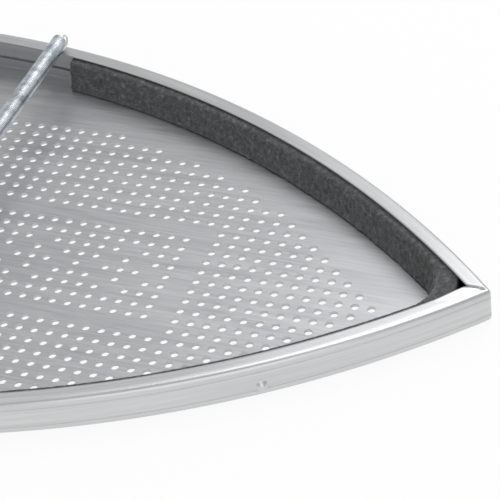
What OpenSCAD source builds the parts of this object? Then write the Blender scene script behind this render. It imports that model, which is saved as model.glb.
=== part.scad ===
// Shoe cover for a hand iron: a shallow pointed tray that slips on under the
// iron's sole. A rolled aluminium channel runs round both curved sides to the
// tip and is lined with felt. A perforated aluminium plate rests on the channel's
// lower lip by a raised margin, so that both are flush underneath, where one
// low-friction sheet covers them. A close-wound spring across the tray keeps the
// iron in.
// X points to the tip, Y to the far side, Z up. The origin is under the middle
// of the tray, on the surface that it glides on.

/* [Outline] */
// Overall width at the widest station
shell_w = 164; // [130:1:200]
// From the widest station forward to the sharp point of the two sides
nose_l = 198; // [160:1:240]
// From the widest station back to the open rear end
tail_l = 18; // [8:1:40]
// Rounding of the outer corner at the tip
tip_r = 1.1; // [0.6:0.1:1.5]

/* [Rim channel] */
// Height of the channel, from its lip to its top flange
rim_h = 10.6; // [8:0.1:16]
// Thickness of the strip that the channel is rolled from
rim_t = 0.8; // [0.6:0.1:1.2]
// Reach of the top flange in from the outer face
flange_w = 4.5; // [3:0.1:7]
// Reach of the lower lip in from the outer face
lip_w = 3.6; // [2.4:0.1:6]
// Outside radius of both folds
fold_r = 1.3; // [1.3:0.1:1.8]
// Distance that each channel end stops short of the plate's rear edge
rim_setback = 6; // [2:0.5:14]
// Width of the open seam between the two flanges at the tip
seam_w = 0.5; // [0.3:0.1:1]

/* [Plate and sole sheet] */
// Thickness of the perforated plate
plate_t = 0.7; // [0.5:0.1:1.2]
// Thickness of the sole sheet bonded under the plate and the lip
sole_t = 0.3; // [0.2:0.05:1]
// Rounding of the two rear corners in plan
rear_r = 9; // [4:0.5:14]
// Gap between the plate's edges and the channel
edge_gap = 0.1; // [0.05:0.05:0.4]

/* [Steam holes] */
// Diameter of each steam hole
hole_d = 2.3; // [1.4:0.05:2.8]
// Hole spacing along the tray
pitch_x = 4.5; // [3.6:0.1:6]
// Hole spacing across the tray
pitch_y = 3.9; // [3.2:0.1:6]
// Offset of the hole field from the centre line
field_shift = -3.9; // [-6:0.1:6]
// Plain margin between the tip's point and the first hole
tip_margin = 31.5; // [20:0.5:50]
// Plain margin between the widest station's side and the hole field
side_margin = 23; // [12:0.5:40]
// Where the field is widest, ahead of the widest station
field_station = 38; // [10:1:60]
// Columns of holes from the first one back
field_columns = 32; // [8:1:36]

/* [Plain panel in the hole field] */
// Column of the panel's front line, counted back from the first hole
panel_column = 12; // [4:1:20]
// Rows from the field's middle to the panel's two side lines
panel_row = 5; // [4:1:8]
// Columns that one lozenge of the middle band takes
lozenge_step = 6; // [5:1:10]
// Half size of a lozenge, in holes
lozenge_half = 2; // [1:1:3]

/* [Felt] */
// Thickness of the felt lining
felt_t = 7.5; // [4:0.5:10]
// Gap between the felt and the channel around it
felt_gap = 0.3; // [0.2:0.1:1]
// Outer radius of the felt's bend at the tip
felt_bend_r = 17; // [12:0.5:24]
// Distance that the felt's ends stop ahead of the spring's middle
felt_stop = 5.5; // [4:0.5:20]

/* [Spring] */
// Distance from the tip's point back to the spring
spring_back = 156; // [110:1:185]
// Outside diameter of the coil
spring_d = 5; // [4:0.1:6]
// Wire diameter
wire_d = 0.6; // [0.5:0.05:0.9]
// Distance that each end of the coil stops inside the wall's outer face
coil_inset = 2; // [1.2:0.1:4]
// Radius of the hook that turns down over the flange's edge
hook_r = 1.9; // [1.5:0.1:3]
// Clearance of the hook wire in the wall's hole, on the diameter
hook_play = 0.5; // [0.2:0.1:1]

/* [Crimp pips] */
// Distance from the tip's point back to the pip in each wall
pip_back = 49; // [30:1:120]
// Height of the pip's middle above the plate
pip_z = 2.6; // [2.2:0.1:6]
// Diameter of the pip where it leaves the wall
pip_d = 3.6; // [2.4:0.1:4]
// Distance that the pip stands out of the wall
pip_out = 1.1; // [0.6:0.1:1.6]

/* [Hidden] */

half_w = shell_w / 2;
// Each side is an arc about a centre that far beyond the other side
side_r = (nose_l * nose_l + half_w * half_w) / (2 * half_w);
centre_y = side_r - half_w;
// The rounded tip falls short of the sharp point by this much
tip_loss = nose_l - (nose_at(0, tip_r));
total_l = nose_l - tip_loss + tail_l;
station_x = -total_l / 2 + tail_l;
point_x = station_x + nose_l;
rear_x = -total_l / 2;

lip_z = sole_t;
lip_top = lip_z + rim_t;
plate_z = sole_t;
plate_top = plate_z + plate_t;
margin_top = lip_top + plate_t;
rim_top = lip_z + rim_h;
flange_under = rim_top - rim_t;
felt_top = flange_under - felt_gap;
// The plate steps up to its margin between these two insets
step_out = lip_w + edge_gap;
step_in = step_out + plate_t;
felt_in = rim_t + felt_gap + felt_t;

spring_x = point_x - spring_back;
spring_z = rim_top + spring_d / 2 + 0.1;
coil_half = side_y(spring_x, 0) - coil_inset;
hook_hole_z = spring_z - 2 * hook_r;

field_r_len = point_x - tip_margin + pitch_x / 2 - (station_x + field_station);
field_half = side_y(station_x + field_station, 0) - side_margin + pitch_y / 2;
field_r = (field_r_len * field_r_len + field_half * field_half) / (2 * field_half);

$fn = 48;
arc_fn = 360;

// How far forward of the widest station a nose of that inset and rounding goes
function nose_at(inset, r) =
    sqrt(pow(side_r - inset - r, 2) - centre_y * centre_y) + r;
// Half width of the outline at x, that far in from the outer face
function side_y(x, inset) =
    sqrt(pow(side_r - inset, 2) - pow(x - station_x, 2)) - centre_y;
// Whether a hole at this column and row belongs to the field
function in_field(x, y) =
    x > station_x + field_station
        ? norm([x - station_x - field_station, abs(y) + field_r - field_half]) < field_r
        : abs(y) < field_half;
// Whether the panel leaves this hole out: its outline, then the lozenges
function left_out(c, r) =
    (c == panel_column && abs(r) <= panel_row)
    || (c > panel_column && abs(r) == panel_row)
    || (c > panel_column + 1
        && abs(r) + abs((c - panel_column - 2) % lozenge_step - lozenge_half) == lozenge_half);

// The tray's plan that far in from the outer face, with a rounded nose
module plan(inset, r, back, corner = 0) {
    nose_x = station_x + nose_at(inset, r) - r;
    reach = side_r - inset;
    tangent_x = station_x + (nose_x - station_x) * reach / (reach - r);
    tangent_y = centre_y * r / (reach - r);
    difference() {
        union() {
            intersection() {
                translate([station_x, -centre_y]) circle(r = reach, $fn = arc_fn);
                translate([station_x, centre_y]) circle(r = reach, $fn = arc_fn);
                translate([back, -half_w - 1]) square([tangent_x - back, shell_w + 2]);
            }
            intersection() {
                translate([nose_x, 0]) circle(r = r, $fn = 96);
                translate([tangent_x - 0.01, -r]) square([2 * r, 2 * r]);
            }
        }
        if (corner > 0)
            for (s = [-1, 1])
                rear_corner_cut(back, s * side_y(back, inset), s, corner);
    }
}

// What rounding takes off one rear corner of the plan
module rear_corner_cut(back, y, s, r)
    difference() {
        translate([back - 1, s > 0 ? y - r : y - 1]) square([r + 1, r + 1]);
        translate([back + r, y - s * r]) circle(r = r);
    }

// Section of the rolled strip, outer face at radius r
module channel_section(r)
    difference() {
        rounded_side(r, flange_w, lip_z, rim_top, fold_r);
        rounded_side(r - rim_t, flange_w + 1, lip_top, flange_under, fold_r - rim_t);
        translate([r - flange_w - 1, lip_z - 1])
            square([flange_w + 1 - lip_w, rim_t + 1.01]);
    }

// A block whose two outer corners are rounded
module rounded_side(r, w, z0, z1, c) {
    translate([r - w, z0]) square([w - c, z1 - z0]);
    translate([r - c - 0.01, z0 + c]) square([c + 0.01, z1 - z0 - 2 * c]);
    for (z = [z0 + c, z1 - c]) translate([r - c, z]) circle(r = c);
}

// One side of the rim, from the centre line at the tip to its rear end
module rim_side()
    intersection() {
        translate([station_x, -centre_y, 0])
            rotate([0, 0, 40])
                rotate_extrude(angle = 60, $fn = arc_fn) channel_section(side_r);
        translate([rear_x + rim_setback, 0, -1])
            cube([total_l + 10, half_w + 5, rim_top + 2]);
    }

// What rounding takes off the sharp vertical corner at the tip
module tip_corner_cut() {
    nose_x = station_x + nose_at(0, tip_r) - tip_r;
    tangent = tip_r / (side_r - tip_r);
    difference() {
        translate([nose_x + (nose_x - station_x) * tangent, -3, lip_z - 1])
            cube([6, 6, rim_h + 2]);
        translate([nose_x, 0, lip_z - 2]) cylinder(r = tip_r, h = rim_h + 4);
    }
}

// Places children on the outer face of both walls at x, pointing outward
module on_walls(x, z)
    for (s = [-1, 1])
        translate([station_x, -s * centre_y, z])
            rotate([0, 0, s * acos((x - station_x) / side_r)])
                translate([side_r, 0, 0]) rotate([0, 90, 0]) children();

module rim()
    color("gainsboro")
        difference() {
            union() {
                difference() {
                    union() {
                        rim_side();
                        mirror([0, 1, 0]) rim_side();
                    }
                    tip_corner_cut();
                    // Seam where the two flanges meet at the tip
                    translate([point_x - flange_w * 3, -seam_w / 2, flange_under - 0.5])
                        cube([flange_w * 3 - fold_r * 2.2, seam_w, rim_t + 1]);
                }
                // Crimp pips stand out of the wall
                on_walls(point_x - pip_back, plate_top + pip_z)
                    translate([0, 0, -rim_t / 2]) pip_dome(pip_d / 2, pip_out + rim_t / 2);
            }
            on_walls(point_x - pip_back, plate_top + pip_z)
                translate([0, 0, -rim_t - 0.01]) pip_dome(pip_d / 2 - rim_t * 0.8, pip_out);
            // Holes that the spring's hooks go through
            on_walls(spring_x, hook_hole_z)
                translate([0, 0, -rim_t - 1])
                    cylinder(d = wire_d + hook_play, h = rim_t + 2);
        }

// A dome of that base radius and height, standing on Z = 0
module pip_dome(r, h) {
    ball_r = (r * r + h * h) / (2 * h);
    intersection() {
        translate([0, 0, h - ball_r]) sphere(r = ball_r);
        cylinder(r = r + 1, h = h + 1);
    }
}

// The hole pattern that the plate and the sole sheet share
module steam_holes(d)
    for (c = [0 : field_columns - 1], r = [-18 : 18])
        if (in_field(point_x - tip_margin - c * pitch_x, r * pitch_y) && !left_out(c, r))
            translate([point_x - tip_margin - c * pitch_x, r * pitch_y + field_shift])
                circle(d = d, $fn = 16);

// The part of a plan that lies between two insets, open at the rear
module band(outer, outer_r, inner, inner_r, back, corner = 0)
    difference() {
        plan(outer, outer_r, back, corner);
        plan(inner, inner_r, back - 1);
    }

module base_plate()
    color("silver")
        union() {
            translate([0, 0, plate_z])
                linear_extrude(plate_t)
                    difference() {
                        plan(step_out, tip_r, rear_x, rear_r);
                        steam_holes(hole_d);
                    }
            // Step up to the margin, then the margin on the channel's lip
            translate([0, 0, plate_z])
                linear_extrude(margin_top - plate_z)
                    band(step_out, tip_r, step_in, tip_r, rear_x + rim_setback);
            translate([0, 0, lip_top])
                linear_extrude(plate_t)
                    band(fold_r + edge_gap, tip_r, step_in, tip_r, rear_x + rim_setback);
        }

module sole_sheet()
    color("whitesmoke")
        linear_extrude(sole_t)
            difference() {
                union() {
                    plan(fold_r, tip_r, rear_x + rim_setback);
                    plan(step_out, tip_r, rear_x, rear_r);
                }
                steam_holes(hole_d);
            }

module felt_strip()
    color("dimgray") {
        back = spring_x + felt_stop;
        translate([0, 0, margin_top])
            linear_extrude(felt_top - margin_top)
                band(rim_t + felt_gap, felt_bend_r, felt_in, felt_bend_r - felt_t, back);
        // Below the plate's margin it reaches down to the plate
        translate([0, 0, plate_top])
            linear_extrude(margin_top - plate_top)
                band(step_in + felt_gap, felt_bend_r - step_in + rim_t, felt_in, felt_bend_r - felt_t, back);
    }

// Outline of the coil wall on one side of its axis, ribbed like the turns
function coil_outline(n, step) = concat(
    [for (i = [0 : n - 1]) each [
        [spring_d / 2 - wire_d / 2, i * step],
        [spring_d / 2, (i + 0.5) * step]]],
    [[spring_d / 2 - wire_d / 2, n * step],
     [spring_d / 2 - wire_d, n * step], [spring_d / 2 - wire_d, 0]]);

module spring()
    color("lightsteelblue") {
        turns = floor(2 * coil_half / (2 * wire_d));
        translate([spring_x, -coil_half, spring_z])
            rotate([-90, 0, 0])
                rotate_extrude($fn = 32) polygon(coil_outline(turns, 2 * coil_half / turns));
        for (s = [0, 1]) mirror([0, s, 0]) spring_hook();
    }

// End of the wire: it crosses the coil's mouth, reaches past the wall, turns
// down and comes back in through the wall's hole
module spring_hook() {
    out = side_y(spring_x, 0) + 0.5;
    translate([spring_x, coil_half - wire_d, spring_z]) {
        rotate([-90, 0, 0]) cylinder(d = wire_d, h = out - coil_half + wire_d, $fn = 20);
        translate([0, wire_d / 2, -(spring_d - wire_d) / 2])
            cylinder(d = wire_d, h = spring_d - wire_d, $fn = 20);
    }
    translate([spring_x, out, spring_z - hook_r])
        rotate([0, 90, 0])
            rotate_extrude(angle = 180, $fn = 64)
                translate([hook_r, 0]) circle(d = wire_d, $fn = 20);
    translate([spring_x, out, hook_hole_z])
        rotate([90, 0, 0])
            cylinder(d = wire_d, h = 0.5 + rim_t + 1, $fn = 20);
}

rim();
base_plate();
sole_sheet();
felt_strip();
spring();
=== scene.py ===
"""Looks of the iron shoe cover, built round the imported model.

The shoe is a pointed tray: a rolled aluminium channel round a perforated plate,
lined with felt, with a close-wound spring across it. The plate and the sole
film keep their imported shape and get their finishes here. The rim, the felt and
the spring are modelled again in fine meshes on the same outline.
"""
import logging
import math
from dataclasses import dataclass, field
from enum import Enum

import bpy
import numpy as np
from mathutils import Matrix, Vector, noise


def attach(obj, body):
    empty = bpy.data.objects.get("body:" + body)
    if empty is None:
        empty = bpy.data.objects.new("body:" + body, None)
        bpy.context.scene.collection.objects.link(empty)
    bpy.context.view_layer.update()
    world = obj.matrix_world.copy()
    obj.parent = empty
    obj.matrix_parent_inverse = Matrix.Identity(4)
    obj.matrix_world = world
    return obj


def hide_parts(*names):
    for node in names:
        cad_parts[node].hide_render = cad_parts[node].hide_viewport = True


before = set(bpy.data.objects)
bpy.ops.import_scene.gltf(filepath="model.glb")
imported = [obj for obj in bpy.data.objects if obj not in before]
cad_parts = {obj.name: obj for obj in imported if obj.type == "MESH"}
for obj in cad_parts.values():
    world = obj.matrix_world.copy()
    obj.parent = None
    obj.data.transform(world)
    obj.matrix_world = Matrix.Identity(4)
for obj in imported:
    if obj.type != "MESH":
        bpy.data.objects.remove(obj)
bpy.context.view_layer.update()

MM = 0.001
LOG = logging.getLogger("shoe_cover")


class Side(Enum):
    """The two long sides of the tray."""

    NEAR = -1
    FAR = 1


# Outline ---------------------------------------------------------------


@dataclass(frozen=True)
class Outline:
    """Plan of the tray: two arcs that meet at the tip. Sizes in millimetres."""

    width: float = 164.0
    nose: float = 198.0
    tail: float = 18.0
    tip_round: float = 1.1

    @property
    def radius(self) -> float:
        """Radius of each side's arc."""
        half = self.width / 2
        return (self.nose**2 + half**2) / (2 * half)

    @property
    def centre_y(self) -> float:
        """Distance from the centre line to each arc's centre."""
        return self.radius - self.width / 2

    @property
    def length(self) -> float:
        """Overall length, from the rear edge to the rounded tip."""
        tip = math.sqrt((self.radius - self.tip_round) ** 2 - self.centre_y**2)
        return tip + self.tip_round + self.tail

    @property
    def station(self) -> float:
        """X of the widest station."""
        return self.tail - self.length / 2

    @property
    def point(self) -> float:
        """X of the sharp point where the two arcs cross."""
        return self.station + self.nose

    def half_width(self, x: float, inset: float) -> float:
        """Half width of the plan at a station.

        Args:
            x: Station along the tray.
            inset: Distance in from the outer face.

        Returns:
            Distance from the centre line.
        """
        reach = self.radius - inset
        return math.sqrt(reach**2 - (x - self.station) ** 2) - self.centre_y

    def path(self, inset: float, bend: float, back: float, steps: int,
             bend_steps: int) -> np.ndarray:
        """Walks the plan from the near rear end round the tip to the far one.

        Args:
            inset: Distance in from the outer face.
            bend: Radius of the corner at the tip.
            back: X at which both ends stop.
            steps: Segments along each side.
            bend_steps: Segments round the tip.

        Returns:
            Points of the walk, one row each of X and Y.
        """
        reach = self.radius - inset
        hub = self.station + math.sqrt((reach - bend) ** 2 - self.centre_y**2)
        tangent = math.atan2(self.centre_y, hub - self.station)
        rear = math.acos((back - self.station) / reach)
        turn = np.linspace(rear, tangent, steps + 1)
        near = np.stack([self.station + reach * np.cos(turn),
                         self.centre_y - reach * np.sin(turn)], 1)
        swing = np.linspace(-tangent, tangent, bend_steps + 1)[1:-1]
        corner = np.stack([hub + bend * np.cos(swing), bend * np.sin(swing)], 1)
        return np.concatenate([near, corner, near[::-1] * [1, -1]])


PLAN = Outline()


# Mesh helpers ----------------------------------------------------------


def mesh_object(name: str, verts: np.ndarray, faces: list[tuple[int, ...]],
                smooth: bool = True) -> bpy.types.Object:
    """Makes a mesh object from points in millimetres and links it.

    Args:
        name: Name of the object and its mesh.
        verts: Points, one row each.
        faces: Corner indices of each face.
        smooth: Whether its faces are shaded smooth.

    Returns:
        The new object.
    """
    mesh = bpy.data.meshes.new(name)
    mesh.from_pydata((np.asarray(verts, float) * MM).tolist(), [], faces)
    mesh.validate()
    mesh.polygons.foreach_set("use_smooth", [smooth] * len(mesh.polygons))
    obj = bpy.data.objects.new(name, mesh)
    bpy.context.scene.collection.objects.link(obj)
    return obj


def grid_faces(rows: int, cols: int, closed: bool, start: int = 0) -> list[tuple[int, ...]]:
    """Lists the quads of a grid of points.

    Args:
        rows: Points along the sweep.
        cols: Points round the section.
        closed: Whether the section closes on itself.
        start: Index of the grid's first point.

    Returns:
        The faces, turned outward for a section that runs anticlockwise as it
        is seen looking along the sweep.
    """
    last = cols if closed else cols - 1
    faces = []
    for i in range(rows - 1):
        for j in range(last):
            a, b = start + i * cols + j, start + i * cols + (j + 1) % cols
            faces.append((a, b, b + cols, a + cols))
    return faces


def tube(points: np.ndarray, radius: float, sides: int) -> tuple[np.ndarray, list[tuple[int, ...]]]:
    """Sweeps a round wire along a route, with a frame that never twists.

    Args:
        points: The route, one row each.
        radius: Radius of the wire.
        sides: Points round the wire.

    Returns:
        Points and faces of the closed tube.
    """
    tangent = np.gradient(points, axis=0)
    tangent /= np.linalg.norm(tangent, axis=1)[:, None]
    across = np.cross(tangent[0], [0.0, 0.0, 1.0])
    if np.linalg.norm(across) < 0.1:
        across = np.cross(tangent[0], [1.0, 0.0, 0.0])
    angle = np.linspace(0, 2 * math.pi, sides, endpoint=False)
    rings = []
    for point, along in zip(points, tangent):
        across = across - along * np.dot(across, along)
        across /= np.linalg.norm(across)
        up = np.cross(along, across)
        rings.append(point + radius * (np.outer(np.cos(angle), across) + np.outer(np.sin(angle), up)))
    faces = grid_faces(len(points), sides, True)
    end = (len(points) - 1) * sides
    faces.append(tuple(range(sides - 1, -1, -1)))
    faces.append(tuple(range(end, end + sides)))
    return np.concatenate(rings), faces


def weld_normals(obj: bpy.types.Object) -> None:
    """Turns a closed mesh's faces outward."""
    import bmesh
    work = bmesh.new()
    work.from_mesh(obj.data)
    bmesh.ops.recalc_face_normals(work, faces=work.faces)
    work.to_mesh(obj.data)
    work.free()


# Finishes --------------------------------------------------------------


def linear(code: str) -> tuple[float, float, float, float]:
    """Turns an sRGB hex code into the linear colour that a socket takes."""
    parts = [int(code[i : i + 2], 16) / 255 for i in (1, 3, 5)]
    return tuple(c / 12.92 if c <= 0.04045 else ((c + 0.055) / 1.055) ** 2.4 for c in parts) + (1.0,)


def add_node(tree: bpy.types.NodeTree, kind: str, links: dict | None = None,
             **settings: object) -> bpy.types.Node:
    """Adds a node with its settings and its inputs.

    Args:
        tree: Tree that the node goes into.
        kind: Blender's name for the node.
        links: Input name or index to a value or to the socket that feeds it.
        settings: Attributes of the node.

    Returns:
        The node.
    """
    node = tree.nodes.new(kind)
    for key, value in settings.items():
        setattr(node, key, value)
    for key, value in (links or {}).items():
        if isinstance(value, bpy.types.NodeSocket):
            tree.links.new(value, node.inputs[key])
        else:
            node.inputs[key].default_value = value
    return node


def ramp(node: bpy.types.Node, *stops: tuple[float, str]) -> bpy.types.Node:
    """Sets the stops of a colour ramp from places and hex codes."""
    marks = node.color_ramp.elements
    while len(marks) < len(stops):
        marks.new(0.5)
    for mark, (place, code) in zip(marks, stops):
        mark.position = place
        mark.color = linear(code)
    return node


def blank(name: str) -> tuple[bpy.types.Material, bpy.types.NodeTree]:
    """Starts a material with an empty node tree."""
    material = bpy.data.materials.new(name)
    material.use_nodes = True
    material.node_tree.nodes.clear()
    return material, material.node_tree


def finish_tree(tree: bpy.types.NodeTree, shader: bpy.types.NodeSocket) -> None:
    """Joins a shader to the material's output."""
    add_node(tree, "ShaderNodeOutputMaterial", {"Surface": shader})


@dataclass(frozen=True)
class BrushedAluminium:
    """Aluminium sheet with a fine grain brushed or rolled in one direction.

    The grain gives the eye soft streaks that stretch each highlight across
    them, and a broader noise lays longer, softer streaks of tone over it.
    """

    name: str
    light: str = "#D6D7D8"
    dark: str = "#B9BBBD"
    roughness: float = 0.36
    grain_mm: float = 0.35
    streak_mm: float = 26.0
    depth_mm: float = 0.012
    along_uv: bool = False

    def build(self) -> bpy.types.Material:
        """Makes the material.

        Returns:
            A metal whose grain runs along X, or along the UV map's U.
        """
        material, tree = blank(self.name)
        coords = add_node(tree, "ShaderNodeTexCoord")
        if self.along_uv:
            place, unit = coords.outputs["UV"], 1.0
        else:
            place, unit = coords.outputs["Object"], 1 / MM
        # Real grain is about 0.05 mm wide, drawn wider here so that it shows
        squeeze = (unit / self.streak_mm, unit / self.grain_mm, unit / self.grain_mm)
        stretched = add_node(tree, "ShaderNodeMapping", {"Vector": place, "Scale": squeeze})
        grain = add_node(tree, "ShaderNodeTexNoise",
                         {"Vector": stretched.outputs[0], "Scale": 1.0, "Detail": 5.0, "Roughness": 0.62})
        broad_scale = (unit / 60.0, unit / 5.0, unit / 5.0)
        broad_map = add_node(tree, "ShaderNodeMapping", {"Vector": place, "Scale": broad_scale})
        broad = add_node(tree, "ShaderNodeTexNoise",
                         {"Vector": broad_map.outputs[0], "Scale": 1.0, "Detail": 3.0})
        both = add_node(tree, "ShaderNodeMix", {0: 0.35, 2: grain.outputs["Fac"], 3: broad.outputs["Fac"]},
                        data_type="FLOAT")
        colour = ramp(add_node(tree, "ShaderNodeValToRGB", {"Fac": both.outputs[0]}),
                      (0.32, self.dark), (0.68, self.light))
        rough = add_node(tree, "ShaderNodeMapRange",
                         {"Value": both.outputs[0], "From Min": 0.3, "From Max": 0.7,
                          "To Min": self.roughness - 0.07, "To Max": self.roughness + 0.07})
        bump = add_node(tree, "ShaderNodeBump",
                        {"Strength": 0.55, "Distance": self.depth_mm * MM, "Height": grain.outputs["Fac"]})
        metal = add_node(tree, "ShaderNodeBsdfPrincipled",
                         {"Base Color": colour.outputs["Color"], "Metallic": 1.0,
                          "Roughness": rough.outputs[0], "Normal": bump.outputs[0]})
        finish_tree(tree, metal.outputs[0])
        return material


@dataclass(frozen=True)
class NeedleFelt:
    """Grey needled felt: matted fibres, paler where single hairs catch light."""

    name: str = "grey_needle_felt"
    # The shadow tone is painted shade between the fibres and the pale hair tone a painted highlight where single
    # hairs catch light
    shadow: str = "#2B2B2C"
    body: str = "#505152"
    hair_highlight: str = "#8C8D8F"
    fibre_mm: float = 0.9

    def build(self) -> bpy.types.Material:
        """Makes the material.

        Returns:
            A rough cloth with a mottled fibre pattern and a little sheen.
        """
        material, tree = blank(self.name)
        coords = add_node(tree, "ShaderNodeTexCoord")
        unit = 1 / MM
        warp = add_node(tree, "ShaderNodeTexNoise",
                        {"Vector": coords.outputs["Object"], "Scale": unit / 2.5, "Detail": 2.0})
        mixed = add_node(tree, "ShaderNodeMix",
                         {0: 0.0022, 4: coords.outputs["Object"], 5: warp.outputs["Color"]},
                         data_type="VECTOR")
        stretched = add_node(tree, "ShaderNodeMapping",
                             {"Vector": mixed.outputs[1], "Scale": (unit / 2.4, unit / 2.4, unit / self.fibre_mm)})
        fibres = add_node(tree, "ShaderNodeTexNoise",
                          {"Vector": stretched.outputs[0], "Scale": 1.6, "Detail": 7.0, "Roughness": 0.75,
                           "Distortion": 0.6})
        mottle = add_node(tree, "ShaderNodeTexNoise",
                          {"Vector": coords.outputs["Object"], "Scale": unit / 1.6, "Detail": 4.0,
                           "Roughness": 0.7})
        both = add_node(tree, "ShaderNodeMix", {0: 0.4, 2: fibres.outputs["Fac"], 3: mottle.outputs["Fac"]},
                        data_type="FLOAT")
        # The middle stop is the felt's own grey; the darkest stop is painted shade between the fibres and the palest
        # a painted highlight where single hairs catch light
        colour = ramp(add_node(tree, "ShaderNodeValToRGB", {"Fac": both.outputs[0]}),
                      (0.34, self.shadow), (0.52, self.body), (0.72, self.hair_highlight))
        bump = add_node(tree, "ShaderNodeBump",
                        {"Strength": 0.9, "Distance": 0.35 * MM, "Height": both.outputs[0]})
        cloth = add_node(tree, "ShaderNodeBsdfPrincipled",
                         {"Base Color": colour.outputs["Color"], "Roughness": 0.95,
                          "Sheen Weight": 0.25, "Sheen Roughness": 0.5, "Normal": bump.outputs[0]})
        finish_tree(tree, cloth.outputs[0])
        return material


@dataclass(frozen=True)
class ZincWire:
    """Bright zinc-plated spring wire: cool and glossy, so each turn glints."""

    name: str = "zinc_plated_wire"
    light: str = "#DDE3E8"
    dark: str = "#A9B2BA"
    roughness: float = 0.24

    def build(self) -> bpy.types.Material:
        """Makes the material.

        Returns:
            A cool metal with a slight cloud in its plating.
        """
        material, tree = blank(self.name)
        coords = add_node(tree, "ShaderNodeTexCoord")
        cloud = add_node(tree, "ShaderNodeTexNoise",
                         {"Vector": coords.outputs["Object"], "Scale": 1 / (4.0 * MM), "Detail": 4.0})
        colour = ramp(add_node(tree, "ShaderNodeValToRGB", {"Fac": cloud.outputs["Fac"]}),
                      (0.35, self.dark), (0.6, self.light))
        metal = add_node(tree, "ShaderNodeBsdfPrincipled",
                         {"Base Color": colour.outputs["Color"], "Metallic": 1.0, "Roughness": self.roughness})
        finish_tree(tree, metal.outputs[0])
        return material


@dataclass(frozen=True)
class GlideFilm:
    """Low-friction sole film: an off-white waxy sheet with a faint glass weave."""

    name: str = "ptfe_film"
    light: str = "#F1F0EC"
    dark: str = "#E2E0DA"
    weave_mm: float = 0.9

    def build(self) -> bpy.types.Material:
        """Makes the material.

        Returns:
            A smooth pale plastic with a shallow woven relief.
        """
        material, tree = blank(self.name)
        coords = add_node(tree, "ShaderNodeTexCoord")
        weave = add_node(tree, "ShaderNodeTexChecker",
                         {"Vector": coords.outputs["Object"], "Scale": 1 / (self.weave_mm * MM)})
        cloud = add_node(tree, "ShaderNodeTexNoise",
                         {"Vector": coords.outputs["Object"], "Scale": 1 / (18.0 * MM), "Detail": 3.0})
        colour = ramp(add_node(tree, "ShaderNodeValToRGB", {"Fac": cloud.outputs["Fac"]}),
                      (0.3, self.dark), (0.7, self.light))
        bump = add_node(tree, "ShaderNodeBump",
                        {"Strength": 0.15, "Distance": 0.03 * MM, "Height": weave.outputs["Fac"]})
        film = add_node(tree, "ShaderNodeBsdfPrincipled",
                        {"Base Color": colour.outputs["Color"], "Roughness": 0.42, "IOR": 1.38,
                         "Normal": bump.outputs[0]})
        finish_tree(tree, film.outputs[0])
        return material


# Sub-assemblies --------------------------------------------------------


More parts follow.
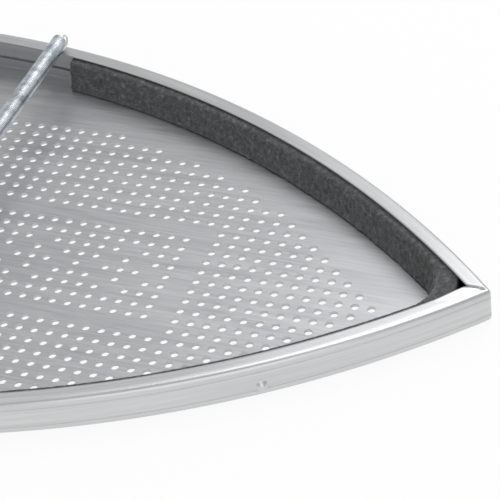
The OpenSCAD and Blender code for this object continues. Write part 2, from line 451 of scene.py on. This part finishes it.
@dataclass
class Rim:
    """The rolled aluminium channel with its mitred tip and crimp pips."""

    bottom: float = 0.3
    height: float = 10.6
    strip: float = 0.8
    flange: float = 4.5
    lip: float = 3.6
    fold: float = 1.3
    setback: float = 6.0
    seam: float = 0.5
    lift: float = 0.55
    lift_reach: float = 9.0
    pip_back: float = 49.0
    pip_z: float = 3.6
    pip_radius: float = 1.9
    pip_out: float = 1.15
    side_steps: int = 150
    tip_steps: int = 10
    finish: BrushedAluminium = field(default_factory=lambda: BrushedAluminium(
        "rolled_aluminium_strip", "#DADADB", "#C2C3C4", 0.34, 0.5, 40.0, 0.010, True))

    @property
    def top(self) -> float:
        """Height of the top flange's upper face."""
        return self.bottom + self.height

    def section(self) -> tuple[list[tuple[float, float]], int, int]:
        """Draws the channel's section.

        Returns:
            Its points as inset and height, anticlockwise from the lip's inner
            edge, then the indices of the flange's first and last point.
        """
        def bend(inset: float, z: float, r: float, start: float, end: float) -> list[tuple[float, float]]:
            """Draws a fold as a quarter turn about its centre."""
            return [(inset - r * math.cos(math.radians(a)), z + r * math.sin(math.radians(a)))
                    for a in np.linspace(start, end, 6)]

        low, high, t, r = self.bottom, self.top, self.strip, self.fold
        # Two shallow lines that the rolls leave along the wall
        lines = [(0, low + 2.0), (0.10, low + 2.12), (0, low + 2.24),
                 (0, high - 2.55), (0.09, high - 2.45), (0, high - 2.35)]
        points = [(self.lip, low), (2.4, low)]
        points += bend(r, low + r, r, -90, 0)
        points += lines[:3] + [(0, 4.0), (0, 5.6), (0, 7.0)] + lines[3:]
        points += bend(r, high - r, r, 0, 90)
        first = len(points) - 1
        points += [(2.2, high), (3.2, high), (4.0, high), (self.flange - 0.15, high),
                   (self.flange, high - 0.15), (self.flange, high - t + 0.15),
                   (self.flange - 0.15, high - t), (4.0, high - t), (3.2, high - t), (2.2, high - t)]
        inner = bend(r, high - r, r - t, 90, 0)
        last = len(points)
        points += inner + [(t, 7.0), (t, 4.0)] + bend(r, low + r, r - t, 0, -90)
        points += [(2.4, low + t), (self.lip, low + t)]
        return points, first, last

    def build(self) -> bpy.types.Object:
        """Sweeps the section round the plan and adds the pips.

        Returns:
            The rim as one mesh with a UV map in millimetres along the strip.
        """
        points, first, last = self.section()
        cols = len(points)
        back = -PLAN.length / 2 + self.setback
        rows = 2 * (self.side_steps + 1) + self.tip_steps - 1
        grid = np.zeros((rows, cols, 3))
        for j, (inset, z) in enumerate(points):
            walk = PLAN.path(inset, max(PLAN.tip_round - inset, 0.06), back, self.side_steps, self.tip_steps)
            grid[:, j, :2] = walk
            grid[:, j, 2] = z
        near_end, far_end = self.side_steps, rows - 1 - self.side_steps
        for j in range(first + 1, last):
            self.open_seam(grid, j, points[j][0], near_end, far_end)
        verts = grid.reshape(-1, 3)
        faces = []
        for a, b, c, d in grid_faces(rows, cols, True):
            row, col = divmod(a, cols)
            in_tip = near_end <= row < far_end
            if in_tip and first <= col < last:
                continue
            faces.append((a, b, c, d))
        for row in range(near_end, far_end):
            faces.append((row * cols + first, row * cols + last, (row + 1) * cols + last, (row + 1) * cols + first))
        for row in (near_end, far_end):
            faces.append(tuple(row * cols + j for j in range(first, last + 1)))
        for row in (0, rows - 1):
            faces.append(tuple(row * cols + j for j in range(cols)))
        rim = mesh_object("rim_shell", verts, faces)
        weld_normals(rim)
        self.lay_uv(rim, grid, rows, cols)
        self.add_pips(rim)
        return rim

    def open_seam(self, grid: np.ndarray, j: int, inset: float, near_end: int, far_end: int) -> None:
        """Draws both flanges back from the seam and lifts the near one.

        Args:
            grid: Points of the sweep, changed in place.
            j: Column of the section.
            inset: The column's distance in from the outer face.
            near_end: Row of the near side's mitre.
            far_end: Row of the far side's mitre.
        """
        blend = min(1.0, (inset - self.fold) / 1.2)
        corner = max(0.0, inset - self.flange + 1.4) / 1.4
        for side, end, step in ((Side.NEAR, near_end, -1), (Side.FAR, far_end, 1)):
            retreat = self.seam / 2 * blend + (1.2 * corner**2 if side is Side.NEAR else 0.35 * corner**2)
            along = grid[end, j, :2] - grid[end + 6 * step, j, :2]
            spacing = np.linalg.norm(along) / 6
            along /= np.linalg.norm(along)
            for k in range(6):
                share = max(0.0, 1 - k * spacing / 6.0)
                grid[end + k * step, j, :2] -= along * retreat * share
            if side is Side.NEAR:
                for k in range(40):
                    row = end + k * step
                    away = np.linalg.norm(grid[row, j, :2] - grid[end, j, :2])
                    share = max(0.0, 1 - away / self.lift_reach)
                    grid[row, j, 2] += self.lift * blend * share * share * (3 - 2 * share)

    def lay_uv(self, rim: bpy.types.Object, grid: np.ndarray, rows: int, cols: int) -> None:
        """Maps millimetres along the strip to U and round the section to V."""
        along = np.zeros(rows)
        along[1:] = np.cumsum(np.linalg.norm(np.diff(grid[:, 0, :2], axis=0), axis=1))
        ring = np.zeros(cols + 1)
        mid = rows // 4
        loop = np.concatenate([grid[mid], grid[mid][:1]])
        ring[1:] = np.cumsum(np.linalg.norm(np.diff(loop, axis=0), axis=1))
        layer = rim.data.uv_layers.new(name="strip")
        for poly in rim.data.polygons:
            indices = [rim.data.loops[k].vertex_index for k in poly.loop_indices]
            wraps = max(i % cols for i in indices) - min(i % cols for i in indices) > cols // 2
            for k, i in zip(poly.loop_indices, indices):
                row, col = divmod(i, cols)
                across = ring[cols] if wraps and col == 0 else ring[col]
                layer.data[k].uv = (along[row], across)

    def add_pips(self, rim: bpy.types.Object) -> None:
        """Presses one round pip out of each wall and joins it to the rim."""
        rings, spokes = 8, 28
        verts, faces = [], []
        for side in Side:
            x = PLAN.point - self.pip_back
            turn = math.acos((x - PLAN.station) / PLAN.radius)
            out = np.array([math.cos(turn), side.value * math.sin(turn), 0.0])
            tangent = np.array([-out[1], out[0], 0.0])
            middle = np.array([x, side.value * PLAN.half_width(x, 0), self.pip_z])
            start = len(verts)
            for i in range(rings + 1):
                share = i / rings
                radius = self.pip_radius * (1.18 - 1.18 * share)
                # A dome with a soft skirt that runs out into the wall
                stand = self.pip_out * (1 - (radius / self.pip_radius) ** 2) if radius < self.pip_radius else -0.05
                for j in range(spokes):
                    a = 2 * math.pi * j / spokes
                    verts.append(middle + out * stand + radius * (tangent * math.cos(a)
                                 + np.array([0, 0, 1.0]) * math.sin(a)))
            faces += grid_faces(rings + 1, spokes, True, start)
            faces.append(tuple(range(start, start + spokes)))
        pips = mesh_object("pips", np.array(verts), faces)
        weld_normals(pips)
        layer = pips.data.uv_layers.new(name="strip")
        for loop in pips.data.loops:
            spot = pips.data.vertices[loop.vertex_index].co / MM
            layer.data[loop.index].uv = (spot.x, spot.z * 1.4)
        bpy.ops.object.select_all(action="DESELECT")
        pips.select_set(True)
        rim.select_set(True)
        bpy.context.view_layer.objects.active = rim
        bpy.ops.object.join()

    def dress(self, rim: bpy.types.Object) -> None:
        """Gives the rim its finish and its place in the frame."""
        rim.data.materials.clear()
        rim.data.materials.append(self.finish.build())
        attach(rim, "root")
        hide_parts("rim")


@dataclass
class FeltLining:
    """The felt strip along both walls, thicker at its foot than at its top."""

    wall: float = 1.1
    foot: float = 8.9
    head: float = 6.6
    bend: float = 17.0
    back: float = -42.7
    z_low: float = 1.0
    z_step: float = 1.8
    z_high: float = 9.9
    side_steps: int = 420
    bend_steps: int = 60
    ruffle_mm: float = 0.28
    finish: NeedleFelt = field(default_factory=NeedleFelt)

    def section(self) -> list[tuple[float, float]]:
        """Draws the strip's section as inset and height, anticlockwise."""
        def run(a: tuple[float, float], b: tuple[float, float], n: int) -> list[tuple[float, float]]:
            """Divides one straight stretch, without its last point."""
            return [(a[0] + (b[0] - a[0]) * k / n, a[1] + (b[1] - a[1]) * k / n) for k in range(n)]

        step_in = 4.7
        inner_foot, inner_head = self.foot, self.head
        corners = [(self.wall, self.z_high - 0.3), (self.wall + 0.4, self.z_high),
                   (inner_head - 0.7, self.z_high), (inner_head, self.z_high - 0.6),
                   (inner_foot, self.z_low + 0.5), (inner_foot - 0.4, self.z_low),
                   (step_in, self.z_low), (step_in, self.z_step), (self.wall, self.z_step)]
        counts = [1, 9, 2, 18, 1, 7, 2, 6, 12]
        points = []
        for k, n in enumerate(counts):
            points += run(corners[k], corners[(k + 1) % len(corners)], n)
        return points

    def build(self) -> bpy.types.Object:
        """Sweeps the section round the tip and ruffles its faces.

        Returns:
            The strip as one closed mesh.
        """
        points = self.section()
        cols = len(points)
        hub_inset = self.wall + self.bend
        rows = 2 * (self.side_steps + 1) + self.bend_steps - 1
        grid = np.zeros((rows, cols, 3))
        for j, (inset, z) in enumerate(points):
            walk = PLAN.path(inset, hub_inset - inset, self.back, self.side_steps, self.bend_steps)
            grid[:, j, :2] = walk
            grid[:, j, 2] = z
        verts = grid.reshape(-1, 3)
        faces = grid_faces(rows, cols, True)
        faces.append(tuple(range(cols)))
        faces.append(tuple((rows - 1) * cols + j for j in range(cols)))
        felt = mesh_object("felt_lining", verts, faces)
        weld_normals(felt)
        self.ruffle(felt)
        return felt

    def ruffle(self, felt: bpy.types.Object) -> None:
        """Roughens the exposed faces with matted tufts."""
        mesh = felt.data
        normals = [v.normal.copy() for v in mesh.vertices]
        for vert, normal in zip(mesh.vertices, normals):
            spot = vert.co / MM
            if spot.z < self.z_low + 0.15:
                continue
            tuft = noise.fractal(spot * 0.9, 0.7, 2.2, 4) + 0.6 * noise.noise(spot * 0.28)
            room = 1.0 if normal.z < 0.3 else 0.25
            vert.co += normal * (tuft * self.ruffle_mm * room * MM)

    def dress(self, felt: bpy.types.Object) -> None:
        """Gives the felt its finish and its place in the frame."""
        felt.data.materials.append(self.finish.build())
        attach(felt, "root")
        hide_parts("felt_strip")


@dataclass
class TensionSpring:
    """The close-wound spring: one wire, with a hook over each flange."""

    x: float = PLAN.point - 156.0
    z: float = 13.5
    coil_d: float = 5.0
    wire_d: float = 0.6
    coil_inset: float = 2.0
    hook_r: float = 1.9
    reach_in: float = 1.8
    sides: int = 9
    steps_a_turn: int = 22
    finish: ZincWire = field(default_factory=ZincWire)

    def half_route(self) -> np.ndarray:
        """Follows the wire from the first turn at the far end to its tip.

        Returns:
            Points from the coil's end over the flange, round the hook and in
            through the wall's hole.
        """
        mean = (self.coil_d - self.wire_d) / 2
        end = PLAN.half_width(self.x, 0) - self.coil_inset
        out = PLAN.half_width(self.x, 0) + 0.5
        rise = [np.array([self.x, end + 0.1 + 0.5 * k / 5, self.z + mean * (1 - k / 5)]) for k in range(1, 6)]
        along = [np.array([self.x, y, self.z]) for y in np.linspace(end + 0.9, out, 5)[1:]]
        turn = [np.array([self.x, out + self.hook_r * math.sin(a), self.z - self.hook_r + self.hook_r * math.cos(a)])
                for a in np.linspace(0, math.pi, 15)[1:]]
        back = [np.array([self.x, out - y, self.z - 2 * self.hook_r]) for y in np.linspace(0, self.reach_in, 4)[1:]]
        return np.array(rise + along + turn + back)

    def build(self) -> bpy.types.Object:
        """Winds the coil and sweeps the wire along it and its two hooks.

        Returns:
            The spring as one closed mesh.
        """
        mean = (self.coil_d - self.wire_d) / 2
        end = PLAN.half_width(self.x, 0) - self.coil_inset
        turns = int(2 * end / (self.wire_d * 1.01))
        a = np.linspace(0, turns * 2 * math.pi, turns * self.steps_a_turn + 1)
        coil = np.stack([self.x + mean * np.sin(a), np.linspace(-end, end, len(a)), self.z + mean * np.cos(a)], 1)
        far = self.half_route()
        near = far[::-1] * [1, -1, 1]
        verts, faces = tube(np.concatenate([near, coil, far]), self.wire_d / 2, self.sides)
        spring = mesh_object("coil_spring", verts, faces)
        weld_normals(spring)
        return spring

    def dress(self, spring: bpy.types.Object) -> None:
        """Gives the spring its finish and its place in the frame."""
        spring.data.materials.append(self.finish.build())
        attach(spring, "root")
        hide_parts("spring")


@dataclass
class PackedSheets:
    """The perforated plate and the sole film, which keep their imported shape."""

    plate: BrushedAluminium = field(default_factory=lambda: BrushedAluminium(
        "brushed_aluminium_sheet", "#CBCCCE", "#ADAFB2", 0.40, 0.45, 14.0, 0.016))
    film: GlideFilm = field(default_factory=GlideFilm)

    def dress(self) -> None:
        """Gives both sheets their finishes."""
        for node, finish in (("base_plate", self.plate), ("sole_sheet", self.film)):
            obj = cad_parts[node]
            obj.data.materials.clear()
            obj.data.materials.append(finish.build())


# Studio ----------------------------------------------------------------


@dataclass
class Studio:
    """White sweep and soft lights."""

    white: str = "#FFFFFF"
    world_level: float = 0.62
    key_level: float = 5.5
    fill_level: float = 1.6

    def build(self) -> None:
        """Sets the world, the floor and the lamps."""
        self.light_world()
        self.lay_floor()
        self.hang_lamp("key", (0.25, 0.55, 0.9), (0.0, 0.05, 0.0), 0.9, self.key_level)
        self.hang_lamp("fill", (0.5, -0.9, 0.45), (0.0, 0.0, 0.0), 0.8, self.fill_level)

    def light_world(self) -> None:
        """Lights all round softly, and shows white to the eye and in metal."""
        world = bpy.data.worlds.new("studio")
        bpy.context.scene.world = world
        world.use_nodes = True
        tree = world.node_tree
        tree.nodes.clear()
        path = add_node(tree, "ShaderNodeLightPath")
        level = add_node(tree, "ShaderNodeMix",
                         {0: path.outputs["Is Camera Ray"], 2: self.world_level, 3: 1.0}, data_type="FLOAT")
        sky = add_node(tree, "ShaderNodeBackground",
                       {"Color": linear(self.white), "Strength": level.outputs[0]})
        add_node(tree, "ShaderNodeOutputWorld", {"Surface": sky.outputs[0]})

    def lay_floor(self) -> None:
        """Lays a white floor that shows white to the camera."""
        reach = 3000.0
        corners = np.array([[-reach, -reach, 0], [reach, -reach, 0], [reach, reach, 0], [-reach, reach, 0]])
        corners[:, 2] = -0.02
        floor = mesh_object("floor", corners, [(0, 1, 2, 3)], smooth=False)
        material, tree = blank("white_sweep")
        path = add_node(tree, "ShaderNodeLightPath")
        seen = add_node(tree, "ShaderNodeMath",
                        {0: path.outputs["Is Camera Ray"], 1: path.outputs["Is Glossy Ray"]}, operation="MAXIMUM")
        card = add_node(tree, "ShaderNodeBsdfDiffuse", {"Color": linear("#F4F4F4")})
        glow = add_node(tree, "ShaderNodeEmission", {"Color": linear(self.white), "Strength": 1.0})
        share = add_node(tree, "ShaderNodeMath", {0: seen.outputs[0], 1: 0.9}, operation="MULTIPLY")
        both = add_node(tree, "ShaderNodeMixShader", {0: share.outputs[0], 1: card.outputs[0], 2: glow.outputs[0]})
        finish_tree(tree, both.outputs[0])
        floor.data.materials.append(material)

    def hang_lamp(self, name: str, place: tuple[float, float, float], target: tuple[float, float, float],
                  size: float, power: float) -> None:
        """Hangs a square soft box that faces a point.

        Args:
            name: Name of the lamp.
            place: Where it hangs, in metres.
            target: The point that it faces.
            size: Side of the box in metres.
            power: Its power in watts.
        """
        lamp = bpy.data.lights.new(name, "AREA")
        lamp.shape = "SQUARE"
        lamp.size = size
        lamp.energy = power
        obj = bpy.data.objects.new(name, lamp)
        obj.location = place
        obj.rotation_euler = (Vector(target) - Vector(place)).to_track_quat("-Z", "Y").to_euler()
        bpy.context.scene.collection.objects.link(obj)


@dataclass
class ProductCamera:
    """The photograph's camera: a long lens above the near side of the tip."""

    place: tuple[float, float, float] = (0.19988, -0.32303, 0.32615)
    gaze: tuple[float, float, float] = (-0.3291, 0.6768, -0.6585)
    roll_deg: float = 9.0
    lens_mm: float = 130.1

    def build(self) -> None:
        """Makes the camera and sets it as the scene's."""
        data = bpy.data.cameras.new("product_camera")
        data.sensor_width = 36.0
        data.lens = self.lens_mm
        data.clip_start = 0.01
        data.clip_end = 20.0
        obj = bpy.data.objects.new("product_camera", data)
        bpy.context.scene.collection.objects.link(obj)
        look = Vector(self.gaze).normalized()
        level = look.cross(Vector((0, 0, 1))).normalized()
        above = level.cross(look)
        roll = math.radians(self.roll_deg)
        right = level * math.cos(roll) - above * math.sin(roll)
        up = right.cross(look)
        turned = Matrix((right, up, -look)).transposed()
        obj.matrix_world = Matrix.Translation(self.place) @ turned.to_4x4()
        bpy.context.scene.camera = obj


def main() -> None:
    """Builds the shoe cover's pieces in order, then the studio."""
    logging.basicConfig(level=logging.INFO, format="%(name)s: %(message)s")
    ProductCamera().build()
    for maker in (Rim(), FeltLining(), TensionSpring()):
        piece = maker.build()
        maker.dress(piece)
        LOG.info("%s: %d faces", piece.name, len(piece.data.polygons))
    PackedSheets().dress()
    LOG.info("plate and film dressed")
    Studio().build()
    bpy.context.scene.view_settings.view_transform = "Standard"


if __name__ == "__main__":
    main()
